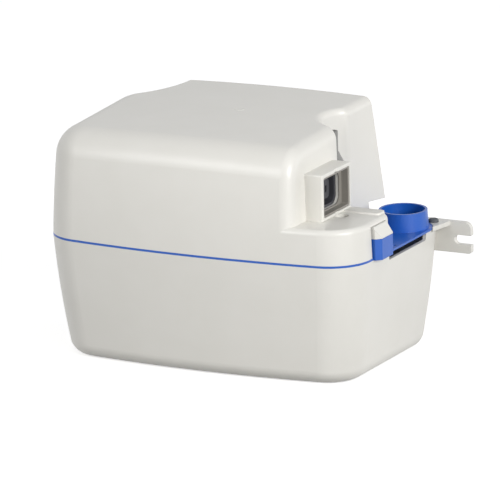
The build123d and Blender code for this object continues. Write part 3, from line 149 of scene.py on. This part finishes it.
def floor():
    """A pale floor that keeps the object's shadow and reads as white around it."""
    sheet = bmesh.new()
    bmesh.ops.create_grid(sheet, x_segments=FLOOR_PARTS, y_segments=FLOOR_PARTS, size=FLOOR_SIZE)
    mesh = bpy.data.meshes.new("floor")
    sheet.to_mesh(mesh)
    sheet.free()
    board = bpy.data.objects.new("floor", mesh)
    board.location.z = -FLOOR_DROP
    scene.collection.objects.link(board)
    paint = bpy.data.materials.new("matt_white_floor")
    paint.use_nodes = True
    tree = paint.node_tree
    tree.nodes.clear()
    seen = background_rays(tree)
    matt = add_node(tree, "ShaderNodeBsdfDiffuse", {"Color": srgb("E9E8E6")})
    # what the floor throws back on the object's sides
    dim = add_node(tree, "ShaderNodeBsdfDiffuse", {"Color": srgb("8E8D8B")})
    lift = add_node(tree, "ShaderNodeEmission", {"Color": srgb("FFFFFF"), "Strength": FLOOR_LIFT})
    lifted = add_node(tree, "ShaderNodeAddShader", {0: matt.outputs[0], 1: lift.outputs[0]})
    mixed = add_node(tree, "ShaderNodeMixShader", {0: seen, 1: dim.outputs[0], 2: lifted.outputs[0]})
    add_node(tree, "ShaderNodeOutputMaterial", {"Surface": mixed.outputs[0]})
    mesh.materials.append(paint)


room()
floor()

# ------------------------------------------------------------------ materials
DRIFT_MM = 22.0                # size of the patches in which a moulding's tone drifts
MOULD_GLOSS_SPREAD = 0.04      # how far roughness swings either way
METAL_GLOSS_SPREAD = 0.07
EDGE_MM = 0.35                 # radius that softens a moulding's sharp edges
SCRATCH_DEPTH_MM = 0.02
DARK_SHEET_MM = 2.0            # from one dark line to the next: four sheets of 0.5 mm
SHEET_GROOVE_MM = 0.15
WAVE_PER_SCALE = 20            # a wave texture repeats every 2 pi / 20 at scale 1


def new_material(name):
    """A material with an empty node tree."""
    made = bpy.data.materials.new(name)
    made.use_nodes = True
    made.node_tree.nodes.clear()
    return made, made.node_tree


def noise(tree, vector, size_mm, **inputs):
    """A noise texture whose spots are about this size."""
    return add_node(tree, "ShaderNodeTexNoise", {"Vector": vector, "Scale": 1 / (size_mm * MM), **inputs})


def blend(tree, share, colour, shade):
    """Mixes two tones of one colour."""
    mixed = add_node(tree, "ShaderNodeMix", {0: share, 6: srgb(colour), 7: srgb(shade)}, data_type="RGBA")
    return mixed.outputs[2]


def gloss_range(tree, value, rough, spread):
    """Roughness that follows a noise, within a spread either way."""
    swing = {"From Min": 0.3, "From Max": 0.7, "To Min": rough - spread, "To Max": rough + spread}
    return add_node(tree, "ShaderNodeMapRange", {"Value": value, **swing}).outputs[0]


def finish_material(tree, **inputs):
    """Ends a tree with a principled surface."""
    skin = add_node(tree, "ShaderNodeBsdfPrincipled", inputs)
    add_node(tree, "ShaderNodeOutputMaterial", {"Surface": skin.outputs[0]})


def moulded(name, colour, shade, rough, grain_mm, relief_mm, ior):
    """A moulded plastic or rubber: a faint tone drift from the flow and a fine tool-face grain."""
    made, tree = new_material(name)
    place = add_node(tree, "ShaderNodeTexCoord").outputs["Object"]
    drift = noise(tree, place, DRIFT_MM, Detail=2.0).outputs["Fac"]
    tone = blend(tree, drift, colour, shade)
    grain = noise(tree, place, grain_mm, Detail=3.0, Roughness=0.6).outputs["Fac"]
    gloss = gloss_range(tree, grain, rough, MOULD_GLOSS_SPREAD)
    edge = add_node(tree, "ShaderNodeBevel", {"Radius": EDGE_MM * MM}, samples=4)
    bump = add_node(tree, "ShaderNodeBump",
                    {"Height": grain, "Distance": relief_mm * MM, "Normal": edge.outputs[0]})
    finish_material(tree, **{"Base Color": tone, "IOR": ior, "Roughness": gloss, "Normal": bump.outputs[0]})
    return made


def metal(name, colour, shade, rough, scratch_mm, stretch=(1, 1, 1)):
    """A bare metal: drawn or ground scratches along one direction, with a slight tone drift."""
    made, tree = new_material(name)
    place = add_node(tree, "ShaderNodeTexCoord").outputs["Object"]
    along = add_node(tree, "ShaderNodeMapping", {"Vector": place, "Scale": stretch}).outputs[0]
    lines = noise(tree, along, scratch_mm, Detail=4.0).outputs["Fac"]
    tone = blend(tree, lines, colour, shade)
    gloss = gloss_range(tree, lines, rough, METAL_GLOSS_SPREAD)
    bump = add_node(tree, "ShaderNodeBump", {"Height": lines, "Distance": SCRATCH_DEPTH_MM * MM})
    finish_material(tree, **{"Base Color": tone, "Metallic": 1.0, "Roughness": gloss,
                             "Normal": bump.outputs[0]})
    return made


def laminations():
    """Stamped electrical steel: thin sheets seen edge on, under a dark varnish."""
    made, tree = new_material("varnished_lamination_steel")
    place = add_node(tree, "ShaderNodeTexCoord").outputs["Object"]
    sheets = add_node(tree, "ShaderNodeTexWave",
                      {"Vector": place, "Scale": 2 * pi / (WAVE_PER_SCALE * DARK_SHEET_MM * MM)},
                      wave_type="BANDS", bands_direction="Z").outputs["Fac"]
    tone = blend(tree, sheets, "3A3D42", "6E7278")
    bump = add_node(tree, "ShaderNodeBump", {"Height": sheets, "Distance": SHEET_GROOVE_MM * MM})
    finish_material(tree, **{"Base Color": tone, "Metallic": 0.6, "Roughness": 0.42,
                             "Normal": bump.outputs[0]})
    return made


# The mouldings have a light spark-eroded face: satin, with broad soft highlights.
# Colour, its second tone, roughness, grain size, grain depth, index of refraction.
finishes = {
    "white_abs": moulded("white_moulded_abs", "E0DED8", "DBD9D2", 0.36, 0.9, 0.012, 1.53),
    "blue_abs": moulded("blue_moulded_abs", "1C5CBC", "1956B0", 0.34, 0.9, 0.012, 1.53),
    "charcoal_nylon": moulded("charcoal_moulded_nylon", "45464B", "3C3D42", 0.45, 0.7, 0.02, 1.53),
    "grey_acetal": moulded("grey_moulded_acetal", "8A8A87", "80807D", 0.35, 0.8, 0.012, 1.48),
    # painted shade: the bezel lining the socket's recess is given this darker grey so that the recess looks
    # shadowed
    "grey_nylon": moulded("grey_moulded_nylon_painted_shade", "908C85", "88847D", 0.42, 0.8, 0.015, 1.53),
    "black_abs": moulded("black_moulded_abs", "26272A", "1E1F22", 0.4, 0.8, 0.02, 1.53),
    "black_rubber": moulded("dark_nitrile_rubber", "55585C", "4A4D51", 0.7, 0.5, 0.03, 1.52),
    "white_foam": moulded("closed_cell_float_foam", "D8D5C8", "CFCBBC", 0.75, 0.6, 0.12, 1.4),
    "natural_nylon": moulded("natural_moulded_nylon", "E4DFCF", "DAD4C1", 0.4, 0.8, 0.015, 1.53),
    # Colour, its second tone, roughness, scratch size, how the scratches are drawn out.
    "steel": metal("ground_steel", "A9ABAD", "939597", 0.28, 0.4, (1, 1, 12)),
    "stainless": metal("stainless_steel", "B9BABB", "A6A8AA", 0.22, 0.4, (1, 1, 12)),
    "zinc_steel": metal("zinc_plated_steel", "B4B6B4", "A2A5A0", 0.34, 1.2),
    "aluminium": metal("die_cast_aluminium", "B8BABC", "A7A9AC", 0.48, 0.8),
    "bronze": metal("sintered_bronze", "A67B45", "8F6836", 0.5, 0.3),
    "brass": metal("drawn_brass", "C9A75B", "B8964C", 0.3, 0.4, (12, 1, 1)),
    "copper": metal("enamelled_copper", "B5652F", "9C5226", 0.25, 0.5, (12, 1, 1)),
    "lamination": laminations(),
}
slots = {part["node"]: part["material_slot"] for part in frame["record"]["subparts"]}
for name, item in nodes.items():
    item.data.materials.clear()
    item.data.materials.append(finishes[slots[name]])

# ------------------------------------------------------------------ screws with threads and recessed heads
THREAD_ROWS = 6                # rows of points in one turn of a thread, and in its run-out
THREAD_DEPTH = 0.16            # of the shank's radius
POINT = 0.75                   # radius of the shank's end, of the shank's radius
RECESS_SHARE, RECESS_EXTRA = 0.55, 0.35       # depth of a drive recess: of the head's height, plus mm
DRIVE_HALF = 0.16              # half a recess's width, of the head's radius
CROSS_REACH, CROSS_TAPER = 0.62, 0.35
SLOT_REACH, SLOT_TURN = 1.3, pi / 5
CUBE_FACES = ((0, 3, 2, 1), (4, 5, 6, 7), (0, 1, 5, 4), (1, 2, 6, 5), (2, 3, 7, 6), (3, 0, 4, 7))


def mesh_piece(name, form, material, smooth=True):
    """Turns a bmesh into a shown piece with its material."""
    bmesh.ops.recalc_face_normals(form, faces=form.faces)
    for face in form.faces:
        face.smooth = smooth
    mesh = bpy.data.meshes.new(name)
    form.to_mesh(mesh)
    form.free()
    mesh.materials.append(material)
    piece = bpy.data.objects.new(name, mesh)
    scene.collection.objects.link(piece)
    return piece


def ring_point(form, radius, share, z):
    """A point on a ring about Z, at this share of a full turn, in millimetres."""
    angle = 2 * pi * share
    return form.verts.new((radius * cos(angle) * MM, radius * sin(angle) * MM, z * MM))


def turned(form, profile, steps=40):
    """Adds a surface of revolution about Z from (radius, z) points in millimetres."""
    rings = []
    for radius, z in profile:
        if radius == 0:
            rings.append([form.verts.new((0, 0, z * MM))] * steps)
        else:
            rings.append([ring_point(form, radius, k / steps, z) for k in range(steps)])
    for low, high in zip(rings, rings[1:]):
        for k in range(steps):
            corners = [low[k], low[(k + 1) % steps], high[(k + 1) % steps], high[k]]
            kept = [c for i, c in enumerate(corners) if c not in corners[:i]]
            if len(kept) > 2:
                form.faces.new(kept)


def threaded(form, radius, length, pitch, depth, steps=20):
    """Adds a closed shank below z 0 whose skin rises and falls along a helix."""
    rows = max(8, int(length / pitch * THREAD_ROWS))
    rings = []
    for row in range(rows + 1):
        z = -length * row / rows
        fade = min(1, row / THREAD_ROWS, (rows - row) / THREAD_ROWS)
        ring = []
        for k in range(steps):
            phase = (z / pitch + k / steps) % 1
            crest = 1 - abs(2 * phase - 1)
            reach = (radius - depth * (1 - crest) * fade) * (POINT if row == rows else 1)
            ring.append(ring_point(form, reach, k / steps, z))
        rings.append(ring)
    for low, high in zip(rings, rings[1:]):
        for k in range(steps):
            form.faces.new((low[k], low[(k + 1) % steps], high[(k + 1) % steps], high[k]))
    form.faces.new(rings[0])
    form.faces.new(rings[-1])


def carve(piece, cutter):
    """Cuts one mesh out of another for good."""
    cut = piece.modifiers.new("recess", "BOOLEAN")
    cut.operation, cut.object, cut.solver = "DIFFERENCE", cutter, "EXACT"
    graph = bpy.context.evaluated_depsgraph_get()
    result = bpy.data.meshes.new_from_object(piece.evaluated_get(graph))
    piece.modifiers.clear()
    piece.data = result
    bpy.data.objects.remove(cutter)


def drive_cutter(radius, top, depth, drive):
    """A tapered cross or a straight slot to cut into a screw's head."""
    form = bmesh.new()
    cross = drive == "cross"
    reach = (CROSS_REACH if cross else SLOT_REACH) * radius
    half = DRIVE_HALF * radius
    taper = CROSS_TAPER if cross else 1
    low, high = top - depth, top + 1
    for turn in (0, pi / 2) if cross else (SLOT_TURN,):
        spin = Matrix.Rotation(turn, 4, "Z")
        corners = [(x * (taper if z == low else 1), y, z) for z in (low, high)
                   for x, y in ((-reach, -half), (reach, -half), (reach, half), (-reach, half))]
        verts = [form.verts.new(spin @ Vector(c) * MM) for c in corners]
        for face in CUBE_FACES:
            form.faces.new([verts[n] for n in face])
    return mesh_piece("cutter", form, finishes["zinc_steel"], smooth=False)


def make_screw(name, place, head, shank, pitch, drive, material, body, down=False):
    """One screw: a turned head with its drive recess, and a threaded shank below it."""
    form = bmesh.new()
    turned(form, head)
    piece = mesh_piece(name, form, material)
    top = max(z for radius, z in head)
    widest = max(radius for radius, z in head)
    carve(piece, drive_cutter(widest, top, RECESS_SHARE * top + RECESS_EXTRA, drive))
    if shank:
        radius, length = shank
        thread = bmesh.new()
        thread.from_mesh(piece.data)
        threaded(thread, radius, length, pitch, THREAD_DEPTH * radius)
        bmesh.ops.recalc_face_normals(thread, faces=thread.faces)
        thread.to_mesh(piece.data)
        thread.free()
    piece.data.transform(Matrix.Rotation(pi if down else 0, 4, "X"))
    piece.data.transform(Matrix.Translation(Vector(place) * MM))
    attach(piece, body)
    return piece


def pan_head(radius, height):
    """Profile of a pan head, closed at the axis."""
    return [(0, 0), (radius, 0), (radius, 0.55 * height), (0.93 * radius, 0.8 * height),
            (0.75 * radius, 0.95 * height), (0.5 * radius, height), (0, height)]


zinc, stainless = finishes["zinc_steel"], finishes["stainless"]

# places, radii and lengths below are in millimetres; a shank is its radius and length
COVER_SCREW = (87, -26)
COVER_HEAD = 2.3               # the head's seat below the screw's top
head_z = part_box("cover_screw")[1][2] / MM - COVER_HEAD
cover_screw = make_screw("cover_screw_threaded", (*COVER_SCREW, head_z), pan_head(3.35, 2.25),
                         (1.72, 14.9), 1.25, "cross", zinc, "cover")
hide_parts("cover_screw")

MOTOR_SCREWS = ((-20, -23), (20, -23), (-20, 17), (20, 17))
stack_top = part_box("lamination_stack")[1][2] / MM
motor_screws = [make_screw(f"motor_screw_{n}", (x, y, stack_top), pan_head(2.95, 2.15), (1.45, 33.9),
                           0.9, "cross", zinc, "pump_head")
                for n, (x, y) in enumerate(MOTOR_SCREWS, 1)]
for screw in motor_screws:
    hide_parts("motor_screws")

CASING_SCREW_RING, CASING_SCREW_START = 26, 150   # radius of their circle, and the first one's angle
SHAFT_Y = -4
FLAT_HEAD = [(0, -1.3), (1.2, -1.3), (2.55, -0.1), (2.55, 0), (0, 0)]
casing_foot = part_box("volute_screws")[0][2] / MM
for n in range(3):
    angle = radians(CASING_SCREW_START + 120 * n)
    place = (CASING_SCREW_RING * cos(angle), SHAFT_Y + CASING_SCREW_RING * sin(angle), casing_foot)
    screw = make_screw(f"casing_screw_{n + 1}", place, FLAT_HEAD, (1.15, 9.9), 0.9,
                       "cross", stainless, "pump_head", down=True)
    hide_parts("volute_screws")

TERMINALS, TERMINAL_PITCH = (20, -50), 7          # middle of the row, and its step along X
CHEESE_HEAD = [(0, 0), (1.85, 0), (1.85, 1.6), (1.7, 1.75), (0, 1.75)]
terminal_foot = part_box("terminal_screws")[0][2] / MM
for n in range(4):
    place = (TERMINALS[0] + TERMINAL_PITCH * (n - 1.5), TERMINALS[1], terminal_foot)
    screw = make_screw(f"terminal_screw_{n + 1}", place, CHEESE_HEAD, None, 1, "slot", zinc, "pump_head")
    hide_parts("terminal_screws")

# ------------------------------------------------------------------ motor coil: turns of enamelled wire
WIRE_MM = 1.2                  # 0.5 mm wire, drawn thicker so that the turns show
COIL_CORNER_MM = 4.0
CORNER_POINTS = 5


def coil():
    """Wire wound round the bobbin in one layer, with rounded corners."""
    low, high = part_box("coil_winding")
    pitch = WIRE_MM * MM
    mid_y, mid_z = (low[1] + high[1]) / 2, (low[2] + high[2]) / 2
    half_y, half_z = (high[1] - low[1] - pitch) / 2, (high[2] - low[2] - pitch) / 2
    corner = COIL_CORNER_MM * MM
    turns = int((high[0] - low[0]) / pitch)
    points = []
    for turn in range(turns):
        for side, (sy, sz) in enumerate(((1, -1), (1, 1), (-1, 1), (-1, -1))):
            for step in range(CORNER_POINTS):
                angle = pi / 2 * (side - 1 + step / (CORNER_POINTS - 1))
                share = (turn + (side + step / CORNER_POINTS) / 4) / turns
                points.append((low[0] + pitch / 2 + share * (high[0] - low[0] - pitch),
                               mid_y + sy * (half_y - corner) + corner * cos(angle),
                               mid_z + sz * (half_z - corner) + corner * sin(angle)))
    curve = bpy.data.curves.new("coil_wire", "CURVE")
    curve.dimensions = "3D"
    curve.bevel_depth = pitch / 2
    curve.bevel_resolution = 2
    line = curve.splines.new("POLY")
    line.points.add(len(points) - 1)
    for point, place in zip(line.points, points):
        point.co = (*place, 1)
    piece = bpy.data.objects.new("coil_wire", curve)
    scene.collection.objects.link(piece)
    curve.materials.append(finishes["copper"])
    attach(piece, "pump_head")
    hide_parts("coil_winding")


coil()

# ------------------------------------------------------------------ mark left by moulding
GATE_PLACE = (-7.3, 16.1)
GATE_PROFILE = [(0, -0.02), (1.2, -0.01), (2.6, 0.05), (3.0, 0.16), (3.4, 0.16), (3.8, 0.02), (3.8, -0.3)]
ABOVE = 0.3                    # a height in metres that is clear of the cover


def gate_mark():
    """Shallow ring and dished centre where the plastic entered, on the top face."""
    x, y = GATE_PLACE
    above = Vector((x * MM, y * MM, ABOVE))
    _, place, normal, _ = nodes["top_cover"].ray_cast(above, Vector((0, 0, -1)))
    form = bmesh.new()
    turned(form, GATE_PROFILE, 48)
    mark = mesh_piece("gate_mark", form, finishes["white_abs"])
    mark.data.transform(normal.to_track_quat("Z", "X").to_matrix().to_4x4())
    mark.data.transform(Matrix.Translation(place))
    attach(mark, "cover")


gate_mark()
